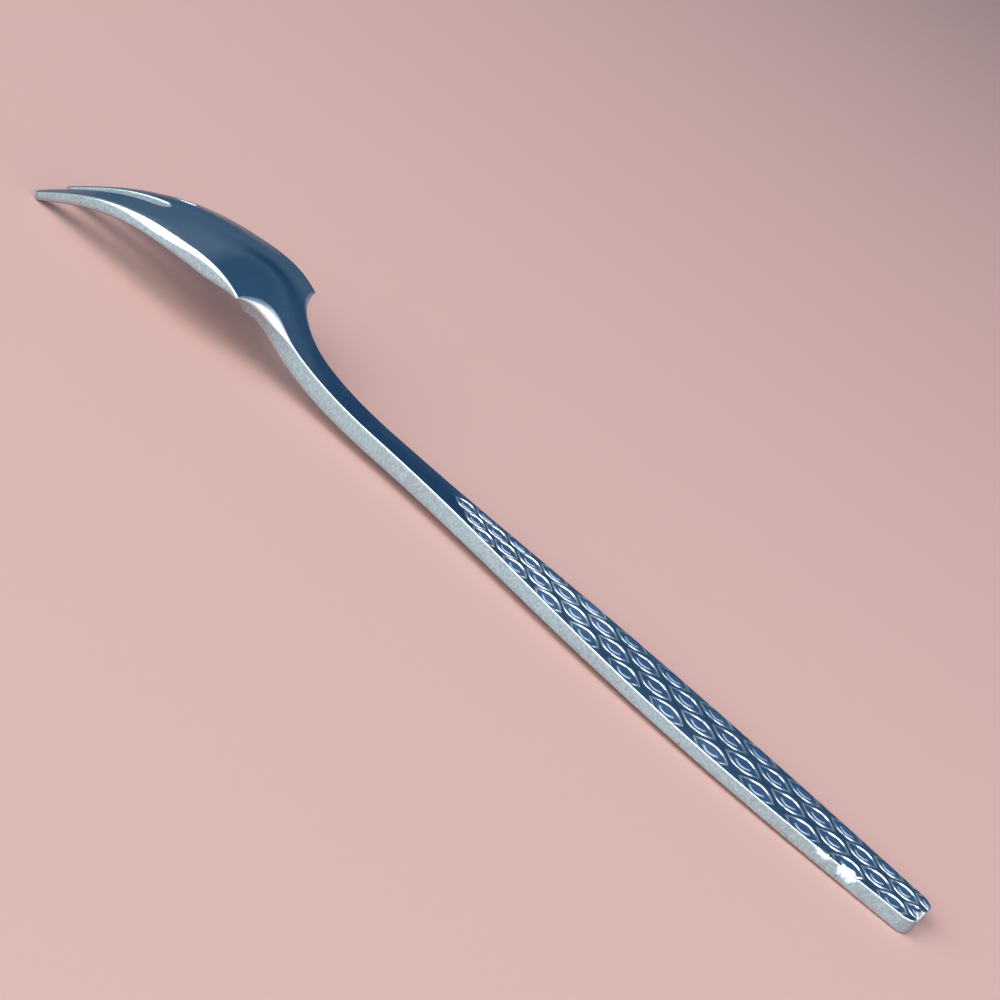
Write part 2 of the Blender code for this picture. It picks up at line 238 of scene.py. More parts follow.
# %% Fit a grid between four edges
def deselect():
    """Nothing selected, and out of edit mode."""
    if bpy.context.object and bpy.context.object.mode != "OBJECT":
        bpy.ops.object.mode_set(mode="OBJECT")
    bpy.ops.object.select_all(action="DESELECT")


def evenly(points, count):
    """A run of points spaced again into a number of even steps."""
    run = np.concatenate([np.atleast_2d(p) for p in points])
    along = np.concatenate([[0.0], np.cumsum(np.linalg.norm(np.diff(run, axis=0), axis=1))])
    marks = np.linspace(0.0, along[-1], count + 1)
    return np.stack([np.interp(marks, along, run[:, k]) for k in (0, 1)], axis=1)


def fitted_grid(name, near, far, start, end):
    """A grid primitive with its sides moved onto four runs of points, its middle eased between."""
    deselect()
    rows, columns = len(near), len(start)
    bpy.ops.mesh.primitive_grid_add(x_subdivisions=rows - 1, y_subdivisions=columns - 1, size=MM)
    grid = bpy.context.object
    grid.name = name
    s = np.linspace(0.0, 1.0, rows)[None, :, None]
    t = np.linspace(0.0, 1.0, columns)[:, None, None]
    sides = (1.0 - t) * near[None] + t * far[None]
    ends = (1.0 - s) * start[:, None] + s * end[:, None]
    corners = ((1.0 - s) * (1.0 - t) * near[0] + (1.0 - s) * t * far[0]
               + s * (1.0 - t) * near[-1] + s * t * far[-1])
    flat = np.zeros((columns * rows, 3))
    flat[:, :2] = (sides + ends - corners).reshape(-1, 2)
    grid.data.vertices.foreach_set("co", flat.ravel())
    grid.data.update()
    return grid


# %% Edges of the tines, set in by the rounding
TIP_RADIUS = 1.25 * MM
SLOT_RADIUS = 1.25 * MM
OUTER_TIP = np.array((1.25, 6.9)) * MM
MIDDLE_TIP = np.array((1.25, 0.0)) * MM
SLOT_ROOT = np.array((18.4, 3.6)) * MM
MIRROR = np.array((1.0, -1.0))
ARC_POINTS = 13
STRAIGHT_POINTS = 40
CURVE_POINTS = 160
NUDGE = 0.01 * MM


def slope_of(curve, place, step=NUDGE):
    """Rise of a curve per length along the fork."""
    return (curve(place + step) - curve(place - step)) / (2.0 * step)


def on_circle(centre, radius, angles):
    """Points of a circle at angles in radians."""
    return centre + radius * np.stack([np.cos(angles), np.sin(angles)], axis=-1)


def tangent(tip, turn):
    """Angle on a tip's circle where the straight edge leaves it for the slot's root."""
    along = SLOT_ROOT - tip
    reach = math.acos((TIP_RADIUS + SLOT_RADIUS) / np.linalg.norm(along))
    return math.atan2(along[1], along[0]) + turn * reach


def tip_arc(tip, start, end):
    """An arc of a tine's tip, set in."""
    angles = np.linspace(start, end, ARC_POINTS)
    edge = on_circle(tip, TIP_RADIUS, angles)
    facing = np.stack([np.cos(angles), np.sin(angles)], axis=1)
    return edge - back_width(edge[:, :1], edge[:, 1:]) * facing


def straight_edge(tip, angle):
    """The straight edge of a slot from a tine's tip to its root, set in."""
    share = np.linspace(0.0, 1.0, STRAIGHT_POINTS)[:, None]
    ends = on_circle(tip, TIP_RADIUS, angle), on_circle(SLOT_ROOT, SLOT_RADIUS, angle + math.pi)
    edge = (1.0 - share) * ends[0] + share * ends[1]
    return edge - SLOT_EDGE * np.array((math.cos(angle), math.sin(angle)))


def curved_edge(curve, start, end, steps=CURVE_POINTS):
    """A curved side of the fork between two places, set in."""
    place = np.linspace(start, end, steps)
    slope = slope_of(curve, place)
    normal = np.stack([slope, -np.ones_like(slope)], axis=1) / np.hypot(slope, 1.0)[:, None]
    return np.stack([place, curve(place)], axis=1) + back_width(place, curve(place))[:, None] * normal


outer_angle = tangent(OUTER_TIP, -1.0)
middle_angle = tangent(MIDDLE_TIP, 1.0)
root_angles = np.linspace(outer_angle + math.pi, middle_angle - math.pi, ARC_POINTS)
root_edge = on_circle(SLOT_ROOT, SLOT_RADIUS, root_angles)
root_arc = root_edge + SLOT_EDGE * (root_edge - SLOT_ROOT) / SLOT_RADIUS
print("slot root reaches", round(float(root_arc[:, 0].max()) / MM, 2), "mm with its rounding")

# %% The three tines
TINE_STEPS = 44
ACROSS_TINE = 8
FRONT_START = math.radians(225.0)
FRONT_END = math.radians(135.0)
SIDE_START = math.radians(90.0)
AFTER_TIP = 0.2 * MM

middle_far = evenly([tip_arc(MIDDLE_TIP, FRONT_END, middle_angle),
                     straight_edge(MIDDLE_TIP, middle_angle)], TINE_STEPS)
middle_front = evenly([tip_arc(MIDDLE_TIP, FRONT_START, FRONT_END)], ACROSS_TINE)
middle_end = evenly([middle_far[-1] * MIRROR, middle_far[-1]], ACROSS_TINE)
tine_grids = [fitted_grid("middle_tine", middle_far * MIRROR, middle_far, middle_front, middle_end)]

outer_near = evenly([tip_arc(OUTER_TIP, FRONT_START, outer_angle + 2.0 * math.pi),
                     straight_edge(OUTER_TIP, outer_angle)], TINE_STEPS)
outer_far = evenly([tip_arc(OUTER_TIP, FRONT_END, SIDE_START),
                    curved_edge(head_side, TIP_RADIUS + AFTER_TIP, outer_near[-1, 0])], TINE_STEPS)
outer_front = evenly([tip_arc(OUTER_TIP, FRONT_START, FRONT_END)], ACROSS_TINE)
outer_end = evenly([outer_near[-1], outer_far[-1]], ACROSS_TINE)
tine_grids.append(fitted_grid("far_tine", outer_near, outer_far, outer_front, outer_end))
tine_grids.append(fitted_grid("near_tine", outer_far * MIRROR, outer_near * MIRROR,
                              outer_front[::-1] * MIRROR, outer_end[::-1] * MIRROR))
print("tines:", [len(g.data.polygons) for g in tine_grids], "faces")

# %% The bowl, the neck and the plain shank
BOWL_STEPS = 44
NECK_STEPS = 110
SWEEP_POINTS = 900
CORNER_ROOM = 0.4 * MM
AFTER_ROOT = 0.3 * MM
AFTER_CORNER = 0.1 * MM
BELOW_CORNER = 0.2 * MM
PLAIN_END = 79.4 * MM


def inward(curve, place):
    """Direction into the steel, square to a side."""
    slope = float(slope_of(curve, place))
    return np.array((slope, -1.0)) / math.hypot(slope, 1.0)


head_in = inward(head_side, SHOULDER - 2.0 * NUDGE)
sweep_in = inward(side, SHOULDER + 2.0 * NUDGE)
corner = (np.array((SHOULDER, SHOULDER_HALF))
          + back_width(SHOULDER, SHOULDER_HALF) * (head_in + sweep_in) / (1.0 + head_in @ sweep_in))
bowl_edge = curved_edge(head_side, outer_far[-1, 0] + AFTER_ROOT, SHOULDER - CORNER_ROOM)
bowl_far = evenly([outer_far[-1], bowl_edge[bowl_edge[:, 0] < corner[0]], corner], BOWL_STEPS)
bowl_start = np.concatenate([outer_end[::-1] * MIRROR, (root_arc * MIRROR)[1:-1], middle_end,
                             root_arc[::-1][1:-1], outer_end])
bowl_end = evenly([corner * MIRROR, corner], len(bowl_start) - 1)
bowl = fitted_grid("bowl", bowl_far * MIRROR, bowl_far, bowl_start, bowl_end)

sweep = curved_edge(side, SHOULDER + AFTER_CORNER, PLAIN_END, SWEEP_POINTS)
neck_far = evenly([corner, sweep[sweep[:, 1] < corner[1] - BELOW_CORNER]], NECK_STEPS)
neck_end = evenly([neck_far[-1] * MIRROR, neck_far[-1]], len(bowl_start) - 1)
neck = fitted_grid("neck", neck_far * MIRROR, neck_far, bowl_end, neck_end)
print("bowl and neck:", len(bowl.data.polygons), "and", len(neck.data.polygons), "faces")

# %% [markdown]
# ## One struck leaf
#
# A leaf is a pointed almond: a raised bright rim round a satin dish with a long raised eye. It
# could be drawn as a bump in the material, but the rims catch the light by their real shape; they
# are also marked bright, a painted highlight. So one leaf is modelled from a circle. Its points are
# pushed into an almond, and the loop is extruded and scaled inwards again and again, each time to
# the height of the relief there.

# %% The relief of a leaf
LEAF_POINTS = 32
LEAF_LEVELS = (0.965, 0.93, 0.895, 0.86, 0.825, 0.79, 0.755, 0.72, 0.58, 0.46, 0.42, 0.38, 0.34,
               0.3, 0.15)
RIM_LEVEL, RIM_REACH, RIM_RISE = 0.87, 0.13, 0.2 * MM
DISH_LEVEL, DISH_SINK = 0.86, 0.08 * MM
EYE_LEVEL, EYE_REACH, EYE_RISE = 0.3, 0.15, 0.16 * MM
CELL_LEVEL = 1.6


def bump(level, middle, reach):
    """A soft ridge from 0 to 1 and back."""
    t = np.clip(np.abs(level - middle) / reach, 0.0, 1.0)
    return 0.5 + 0.5 * np.cos(math.pi * t)


def leaf_height(level):
    """Height of the relief: rim, dish and eye, from the middle (0) out to the edge (1)."""
    dish = -DISH_SINK * np.clip(1.0 - (level / DISH_LEVEL) ** 2, 0.0, 1.0)
    eye = bump(np.maximum(level, EYE_LEVEL), EYE_LEVEL, EYE_REACH)
    return dish + RIM_RISE * bump(level, RIM_LEVEL, RIM_REACH) + EYE_RISE * eye


print("rim, dish and eye in mm:", [round(float(leaf_height(v)) / MM, 3) for v in (RIM_LEVEL, 0.6, 0.0)])

# %% Model one leaf
deselect()
bpy.ops.mesh.primitive_circle_add(vertices=LEAF_POINTS, radius=1.0, fill_type="NOTHING")
leaf = bpy.context.object
leaf.name = "leaf"
for point in leaf.data.vertices:
    point.co.y *= abs(point.co.y)
bpy.ops.object.mode_set(mode="EDIT")
bpy.ops.mesh.select_all(action="SELECT")
level = 1.0
for following in LEAF_LEVELS:
    bpy.ops.mesh.extrude_region_move()
    bpy.ops.transform.resize(value=(following / level, following / level, 1.0))
    level = following
bpy.ops.mesh.extrude_region_move()
bpy.ops.mesh.merge(type="CENTER")

# The outermost loop goes out once more, to become the edge of the leaf's cell.
bpy.ops.mesh.select_all(action="DESELECT")
bpy.ops.mesh.select_non_manifold(extend=False, use_wire=False, use_boundary=True,
                                 use_multi_face=False, use_non_contiguous=False, use_verts=False)
bpy.ops.mesh.extrude_region_move()
bpy.ops.transform.resize(value=(CELL_LEVEL, CELL_LEVEL, 1.0))
bpy.ops.mesh.select_all(action="SELECT")
bpy.ops.mesh.normals_make_consistent(inside=False)
bpy.ops.object.mode_set(mode="OBJECT")
if leaf.data.polygons[0].normal.z < 0.0:
    leaf.data.flip_normals()
leaf.data.attributes.new("dish", "FLOAT", "POINT")
leaf.data.attributes.new("bright", "FLOAT", "POINT")
print("one leaf:", len(leaf.data.vertices), "points,", len(leaf.data.polygons), "faces")

# %% [markdown]
# ## The lattice of leaves
#
# Leaves stand in columns, in turn on even and odd rows, and both the steps and the leaves grow with
# the width of the handle. Every leaf lies in a diamond cell, and diamonds fill the handle without a
# gap. So each copy keeps its leaf's shape, only sized, and its outermost loop goes onto its diamond.

# %% Where the columns stand
FIRST_COLUMN = 83.1 * MM
COLUMN_STEP, STEP_PER_HALF = 1.98 * MM, 0.316
BEFORE_FIRST = 3.0 * MM
PAST_END = 6.0 * MM
FIRST_ROW = 0.21
ROW_STEP = 0.5
FAR_ROW, FAR_ROW_START = 2, 126.0 * MM
BARE_ROWS = (3, -3, -4)


def half_at(place):
    """Half the handle's width at a place, past the end as at the end."""
    return float(side(min(place, LENGTH)))


def lattice_point(column, row):
    """Place and offset of a point of the lattice; column 0 is the first with a leaf."""
    place = columns[column + 1]
    return np.array((place, (FIRST_ROW + ROW_STEP * row) * half_at(place)))


def is_bare(column, row):
    """Cells without a leaf: the outermost rows, and the narrow start of the handle."""
    narrow = row == FAR_ROW and columns[column + 1] < FAR_ROW_START
    return (column == 0 and row != 0) or narrow or row in BARE_ROWS


columns = [FIRST_COLUMN]
while columns[-1] < LENGTH + PAST_END:
    columns.append(columns[-1] + COLUMN_STEP + STEP_PER_HALF * half_at(columns[-1]))
columns.insert(0, columns[0] - BEFORE_FIRST)
columns = np.array(columns)
print("columns of leaves:", len(columns) - 2)

# %% Which corner of its cell each point of a leaf belongs to
BEYOND_LEAF = 1.2
TINY = 1e-6
TURN_SLACK = 1e-4
DISH_EDGE, DISH_BLEND = 0.76, 0.06
BRIGHT_RIM_REACH = 0.11
EYE_EDGE, EYE_EDGE_REACH, EYE_EDGE_BRIGHT = 0.38, 0.09, 0.8

unit = np.array([p.co[:] for p in leaf.data.vertices])
unit_level = (np.abs(unit[:, 1]) + np.sqrt(unit[:, 1] ** 2 + 4.0 * unit[:, 0] ** 2)) / 2.0
on_cell = unit_level > BEYOND_LEAF
turn = np.arccos(np.clip(unit[:, 0] / np.maximum(unit_level, TINY), -1.0, 1.0))
turn = np.where(unit[:, 1] < 0.0, 2.0 * math.pi - turn, turn) / (math.pi / 2.0)
quarter = np.floor(turn + TURN_SLACK).astype(int)
share = (turn - quarter)[:, None]
quarter %= 4
in_dish = np.clip((DISH_EDGE - unit_level) / DISH_BLEND, 0.0, 1.0)
# The rim and the edge of the eye are marked bright: a painted highlight on top of their real relief.
eye_edge = EYE_EDGE_BRIGHT * bump(unit_level, EYE_EDGE, EYE_EDGE_REACH)
on_rim = np.maximum(bump(unit_level, RIM_LEVEL, BRIGHT_RIM_REACH), eye_edge)
print("points on the cell's edge:", int(on_cell.sum()))

# %% Copy the leaf to every cell
ROWS = range(-4, 4)
LEAF_LENGTH, LENGTH_PER_HALF = 2.0 * MM, 0.73
LEAF_HEIGHT, HEIGHT_PER_HALF = 2.05 * MM, 0.305
ROOM_SHARE = 0.95
CHECKED_SHARES = np.linspace(0.0, 0.95, 60)
FULL_RELIEF = 1.75 * MM

cells = []
leaf_count = 0
for column in range(len(columns) - 2):
    for row in ROWS:
        if (column + row) % 2:
            continue
        middle = lattice_point(column, row)
        half = half_at(middle[0])
        length = (LEAF_LENGTH + LENGTH_PER_HALF * half) / 2.0
        height = (LEAF_HEIGHT + HEIGHT_PER_HALF * half) / 2.0
        corners = np.array([lattice_point(column + 1, row), lattice_point(column, row + 1),
                            lattice_point(column - 1, row), lattice_point(column, row - 1)])
        reach = np.min(np.abs(corners - middle)[[0, 2], 0])
        rise = np.min(np.abs(corners - middle)[[1, 3], 1])
        # The almond has to stay inside its diamond, all along the leaf.
        run = CHECKED_SHARES * length
        room = np.min(rise * (1.0 - run / reach) / (1.0 - (run / length) ** 2))
        height = min(height, ROOM_SHARE * room)
        lean = (corners[0, 1] - corners[2, 1]) / (corners[0, 0] - corners[2, 0])
        struck = 0.0 if is_bare(column, row) else 1.0
        place = np.zeros_like(unit)
        place[:, 0] = middle[0] + length * unit[:, 0]
        place[:, 1] = middle[1] + height * unit[:, 1] + lean * length * unit[:, 0]
        strength = struck * min(height / FULL_RELIEF, 1.0)
        place[:, 2] = strength * np.where(on_cell, 0.0, leaf_height(unit_level))
        edge = (1.0 - share) * corners[quarter] + share * corners[(quarter + 1) % 4]
        place[on_cell, :2] = edge[on_cell]
        mesh = leaf.data.copy()
        mesh.vertices.foreach_set("co", place.ravel())
        mesh.attributes["dish"].data.foreach_set("value", struck * in_dish)
        mesh.attributes["bright"].data.foreach_set("value", struck * on_rim)
        mesh.update()
        cell = bpy.data.objects.new("leaf_cell", mesh)
        bpy.context.collection.objects.link(cell)
        cells.append(cell)
        leaf_count += int(struck)
bpy.data.objects.remove(leaf, do_unlink=True)
print("copies:", leaf_count, "leaves in", len(cells), "cells")

# %% Join the cells
SAME_POINT = 0.0005 * MM


def join_all(pieces, keep):
    """Join pieces into one of them and merge the points that meet."""
    deselect()
    for piece in pieces:
        piece.select_set(True)
    bpy.context.view_layer.objects.active = keep
    bpy.ops.object.join()
    bpy.ops.object.mode_set(mode="EDIT")
    bpy.ops.mesh.select_all(action="SELECT")
    bpy.ops.mesh.remove_doubles(threshold=SAME_POINT)
    bpy.ops.object.mode_set(mode="OBJECT")
    return bpy.context.object


lattice = join_all(cells, cells[0])
print("lattice:", len(lattice.data.polygons), "faces")

# %% [markdown]
# ## Cut the lattice to the handle
#
# The handle's sides are curved, and the bisect tool cuts straight. So the lattice is first
# straightened, each point divided by the handle's half width there, then cut straight, and
# then given its width back. The corners of the end are rounded by a fan of straight cuts.

# %% Straighten, cut and widen again
ARC_START = LENGTH - END_CORNER
ON_CUT = 1e-7


def side_half(place):
    """Half width of the struck face, the outline set in by the rounding, before its end's corners."""
    return side(np.minimum(place, ARC_START)) - HANDLE_EDGE


def field_half(place):
    """The same with the round corners of the end."""
    beyond = np.maximum(place - ARC_START, 0.0)
    radius = END_CORNER - HANDLE_EDGE
    return side_half(place) - radius + np.sqrt(np.maximum(radius ** 2 - beyond ** 2, 0.0))


def points_of(thing):
    """All points of an object's mesh, as rows of numbers."""
    found = np.zeros(len(thing.data.vertices) * 3)
    thing.data.vertices.foreach_get("co", found)
    return found.reshape(-1, 3)


def move_points(thing, places):
    """Put the points of an object's mesh at new places."""
    thing.data.vertices.foreach_set("co", np.ascontiguousarray(places).ravel())
    thing.data.update()


def cut(thing, place, normal):
    """Cut a mesh straight and drop what lies beyond the cut."""
    deselect()
    thing.select_set(True)
    bpy.context.view_layer.objects.active = thing
    bpy.ops.object.mode_set(mode="EDIT")
    bpy.ops.mesh.select_all(action="SELECT")
    bpy.ops.mesh.bisect(plane_co=place, plane_no=normal, clear_outer=True, threshold=ON_CUT)
    bpy.ops.object.mode_set(mode="OBJECT")


cut(lattice, (LENGTH - HANDLE_EDGE, 0.0, 0.0), (1.0, 0.0, 0.0))
places = points_of(lattice)
places[:, 1] /= side_half(places[:, 0])
move_points(lattice, places)
cut(lattice, (0.0, 1.0, 0.0), (0.0, 1.0, 0.0))
cut(lattice, (0.0, -1.0, 0.0), (0.0, -1.0, 0.0))
places = points_of(lattice)
places[:, 1] *= side_half(places[:, 0])
move_points(lattice, places)
print("cut lattice:", len(lattice.data.polygons), "faces")

# %% Round the end's corners
FAN = np.radians(np.arange(4.5, 90.0, 9.0))

corner_middle = float(side(ARC_START)) - END_CORNER
corner_radius = END_CORNER - HANDLE_EDGE
for hand in (1.0, -1.0):
    for angle in FAN:
        facing = np.array((math.cos(angle), hand * math.sin(angle), 0.0))
        middle = np.array((ARC_START, hand * corner_middle, 0.0))
        cut(lattice, middle + corner_radius * facing, facing)
print("rounded lattice:", len(lattice.data.polygons), "faces")

# %% Join the sheet and find the gap before the first leaves
ON_LINE = 0.01 * MM
GAP_START = PLAIN_END - 1.0 * MM
GAP_END = 90.0 * MM

fork = join_all(tine_grids + [bowl, neck, lattice], lattice)
fork.name = "steel_fork"


def border_edges(mesh):
    """Pairs of points along the open border of a mesh."""
    uses = {}
    for face in mesh.polygons:
        for key in face.edge_keys:
            uses[key] = uses.get(key, 0) + 1
    return [key for key, count in uses.items() if count == 1]


places = points_of(fork)
edge_room = field_half(places[:, 0]) - np.abs(places[:, 1])
gap = []
for pair in border_edges(fork.data):
    ends = places[list(pair), 0]
    at_neck = np.all(np.abs(ends - neck_end[0, 0]) < ON_LINE)
    inside = np.any(edge_room[list(pair)] > ON_LINE) and np.all(ends > GAP_START)
    if at_neck or (inside and np.all(ends < GAP_END)):
        gap.append(tuple(sorted(pair)))
uses = np.bincount(np.array(gap).ravel())
open_ends = np.flatnonzero(uses == 1).tolist()
open_ends.sort(key=lambda i: (places[i, 1] > 0.0, places[i, 0]))
print("gap:", len(gap), "edges, open ends at",
      [np.round(places[i, :2] / MM, 2).tolist() for i in open_ends])

# %% Close the gap
def select_only(thing, kind, wanted):
    """Select points (by number) or edges (by pairs of points) and go into edit mode."""
    bpy.ops.object.mode_set(mode="EDIT")
    bpy.ops.mesh.select_mode(type=kind)
    bpy.ops.mesh.select_all(action="DESELECT")
    bpy.ops.object.mode_set(mode="OBJECT")
    if kind == "VERT":
        for i in wanted:
            thing.data.vertices[i].select = True
    else:
        for line in thing.data.edges:
            line.select = tuple(sorted(line.vertices)) in wanted
    bpy.ops.object.mode_set(mode="EDIT")


for pair in (open_ends[:2], open_ends[2:]):
    select_only(fork, "VERT", pair)
    bpy.ops.mesh.edge_face_add()
    gap.append(tuple(sorted(pair)))
select_only(fork, "EDGE", set(gap))
bpy.ops.mesh.fill(use_beauty=True)
bpy.ops.mesh.select_all(action="SELECT")
bpy.ops.mesh.normals_make_consistent(inside=False)
bpy.ops.object.mode_set(mode="OBJECT")
if fork.data.polygons[0].normal.z < 0.0:
    fork.data.flip_normals()
print("sheet:", len(fork.data.polygons), "faces,", len(border_edges(fork.data)), "border edges")

# %% [markdown]
# ## Two faces and the edge between them
#
# The sheet so far is the fork's back. A turned copy of it makes the front, with its leaves facing
# down. The back's border is then extruded ring by ring: over the rounding, down the wall, and
# under to the border of the front, where the last ring is merged.

# %% Order the border as one loop
def border_loop(mesh):
    """The points of the one open border, in order round it."""
    neighbours = {}
    for a, b in border_edges(mesh):
        neighbours.setdefault(a, []).append(b)
        neighbours.setdefault(b, []).append(a)
    start = min(neighbours)
    run = [start]
    before, here = None, start
    for _ in range(len(neighbours)):
        onward = [i for i in neighbours[here] if i != before]
        before, here = here, onward[0]
        if here == start:
            break
        run.append(here)
    return run


loop = border_loop(fork.data)
sheet = points_of(fork)
rim = sheet[loop, :2]
if np.sum(rim[:, 0] * np.roll(rim[:, 1], -1) - np.roll(rim[:, 0], -1) * rim[:, 1]) < 0.0:
    loop = loop[::-1]
    rim = rim[::-1]
print("border:", len(loop), "points of", len(border_edges(fork.data)), "edges")

# %% Directions out of the border
LOOK_ALONG = 0.08 * MM
OUTLINE_ROUNDS = 4


def outward(run, reach=LOOK_ALONG):
    """Mitred directions out of a closed run of points that turns to the left."""
    closed = np.concatenate([run, run[:1]])
    along = np.concatenate([[0.0], np.cumsum(np.linalg.norm(np.diff(closed, axis=0), axis=1))])

    def at(distance):
        distance = np.mod(distance, along[-1])
        return np.stack([np.interp(distance, along, closed[:, k]) for k in (0, 1)], axis=1)

    before = run - at(along[:-1] - reach)
    after = at(along[:-1] + reach) - run
    found = []
    for step in (before, after):
        size = np.linalg.norm(step, axis=1)[:, None]
        found.append(np.stack([step[:, 1], -step[:, 0]], axis=1) / size)
    return (found[0] + found[1]) / (1.0 + np.sum(found[0] * found[1], axis=1))[:, None]


# The rounding's width changes along the edge, so the outline is found in a few rounds.
outline = rim.copy()
for _ in range(OUTLINE_ROUNDS):
    top_width = back_width(outline[:, 0], outline[:, 1])
    out = outward(outline)
    outline = rim + out * top_width[:, None]
under_width = front_width(outline[:, 0])
print("outline in mm:", np.round(outline.min(0) / MM, 3).tolist(),
      np.round(outline.max(0) / MM, 3).tolist())

# %% Front face, and the back raised to its depth
EDGE_FADE = 0.45 * MM
EDGE_RELIEF = 0.1

near_edge = np.clip((field_half(sheet[:, 0]) - np.abs(sheet[:, 1])) / EDGE_FADE, 0.0, 1.0)
sheet[:, 2] *= np.where(sheet[:, 0] > PLAIN_END, EDGE_RELIEF + (1.0 - EDGE_RELIEF) * near_edge, 1.0)
relief = sheet[loop, 2].copy()
move_points(fork, sheet)
deselect()
fork.select_set(True)
bpy.context.view_layer.objects.active = fork
bpy.ops.object.mode_set(mode="EDIT")
bpy.ops.mesh.select_all(action="SELECT")
bpy.ops.mesh.duplicate()
bpy.ops.mesh.flip_normals()
bpy.ops.object.mode_set(mode="OBJECT")
is_front = np.array([p.select for p in fork.data.vertices])
places = points_of(fork)
front_loop = np.array(loop) + len(sheet)
places[front_loop, :2] = outline - out * under_width[:, None]
back_level = places[:, 2] + back_depth(places[:, 0], places[:, 1])
front_level = front_lift(places[:, 0], places[:, 1]) - places[:, 2]
places[:, 2] = np.where(is_front, front_level, back_level)
move_points(fork, places)
print("two faces:", len(fork.data.polygons), "faces, front border found:",
      bool(is_front[front_loop].all()))

# %% Rings from the back's border to the front's
# Each step of the rounding: how far in from the outline and how far down, in widths of the rounding.
ROUNDING = ((0.785, 0.023), (0.579, 0.09), (0.391, 0.198), (0.231, 0.343), (0.103, 0.518),
            (0.04, 0.647), (0.0, 0.767))
FRONT_TURNS = np.radians((90.0, 60.0, 30.0, 0.0))
WALL_SHARES = (0.15, 0.4, 0.7)

rings = []
for inwards, down in ROUNDING:
    spot = outline - out * (top_width * inwards)[:, None]
    level = back_depth(*spot.T) + relief * inwards - top_width * down
    rings.append((spot, level, 0.0 if inwards else 1.0))
wall_top = rings[-1][1]
wall_foot = front_lift(*outline.T) + under_width
rings += [(outline, wall_top + (wall_foot - wall_top) * s, 1.0) for s in WALL_SHARES]
for angle in FRONT_TURNS:
    spot = outline - out * (under_width * (1.0 - math.sin(angle)))[:, None]
    level = front_lift(*spot.T) - relief * math.cos(angle) + under_width * (1.0 - math.cos(angle))
    rings.append((spot, level, 1.0 if angle == FRONT_TURNS[0] else 0.0))
print("rings:", len(rings))

# %% Extrude the edge ring by ring
fork.data.attributes.new("wall", "FLOAT", "POINT")
current = list(loop)
for spot, level, on_wall in rings:
    pairs = {tuple(sorted(pair)) for pair in zip(current, current[1:] + current[:1])}
    order = {tuple(fork.data.vertices[i].co): n for n, i in enumerate(current)}
    select_only(fork, "EDGE", pairs)
    bpy.ops.mesh.extrude_region_move()
    bpy.ops.object.mode_set(mode="OBJECT")
    fresh = [0] * len(current)
    for point in fork.data.vertices:
        if point.select:
            fresh[order[tuple(point.co)]] = point.index
    for i, (x, y), z in zip(fresh, spot, level):
        fork.data.vertices[i].co = x, y, z
        fork.data.attributes["wall"].data[i].value = on_wall
        fork.data.attributes["dish"].data[i].value = 0.0
        # Past the shoulder the rounding is marked bright: a painted highlight along the edge.
        fork.data.attributes["bright"].data[i].value = 1.0 if x > SHOULDER and not on_wall else 0.0
    current = fresh
bpy.ops.object.mode_set(mode="EDIT")
bpy.ops.mesh.select_all(action="SELECT")
bpy.ops.mesh.remove_doubles(threshold=SAME_POINT)
bpy.ops.mesh.normals_make_consistent(inside=False)
bpy.ops.object.mode_set(mode="OBJECT")
print("closed blank:", len(fork.data.polygons), "faces, open edges:", len(border_edges(fork.data)))

# %% [markdown]
# ## Knocks
#
# A used fork has knocks on its sharp edges. Two on the near edge of the handle and one on its end are
# flattened at half a right angle, where they catch the light, and their faces are marked bright, a
# painted highlight. They could be cut with a Boolean, but the points near the edge are close enough
# together to be pushed back onto a slanting plane.

# %% Flatten the knocks
# Each knock: its middle along the edge, its reach to either side and its depth, in mm.
EDGE_KNOCKS = ((153.9, 1.1, 0.6), (158.0, 1.6, 0.95))
END_KNOCK = (-1.2, 2.0, 0.75)
RAGGED_WAVES = ((0.18, 3.1), (0.12, 7.3))

flat = points_of(fork)
bright = np.zeros(len(flat))
fork.data.attributes["bright"].data.foreach_get("value", bright)


def knock(beyond, along, middle, reach, bite, facing):
    """Push the points over a slanting plane back onto it, round a middle along the edge, in mm."""
    run = (along / MM - middle) / reach
    ragged = 1.0 + sum(size * np.sin(waves * along / MM) for size, waves in RAGGED_WAVES)
    depth_lost = bite * MM * np.clip(1.0 - run ** 4, 0.0, 1.0) * ragged
    over = flat[:, 2] - back_depth(flat[:, 0], flat[:, 1]) + beyond + depth_lost
    over = np.where(np.abs(run) < 1.0, np.maximum(over, 0.0), 0.0)
    flat[:] -= over[:, None] / 2.0 * np.array((*facing, 1.0))
    # The knock's face is marked bright: a painted highlight.
    bright[over > 0.0] = 1.0
    print("knock at", middle, "mm moved", int(np.count_nonzero(over)), "points")


for edge_knock in EDGE_KNOCKS:
    knock(-flat[:, 1] - side(flat[:, 0]), flat[:, 0], *edge_knock, (0.0, -1.0))
knock(flat[:, 0] - LENGTH, flat[:, 1], *END_KNOCK, (1.0, 0.0))
move_points(fork, flat)
fork.data.attributes["bright"].data.foreach_set("value", bright)

# %% [markdown]
# ## Bend the blank
#
# In the press the head is arched along its length and crowned across it. Each point keeps its
# depth in the steel and moves to the bent middle line, square to it. The crown flattens towards the
# head's margins. The bend tool can't follow an arch that changes along the fork, so the points are
# moved by the side view's own curve.

# %% Bend it and set it down
CROWN_FLARE = 0.55
BEND_STEP = 0.1 * MM
SMOOTH_ANGLE = math.radians(50.0)

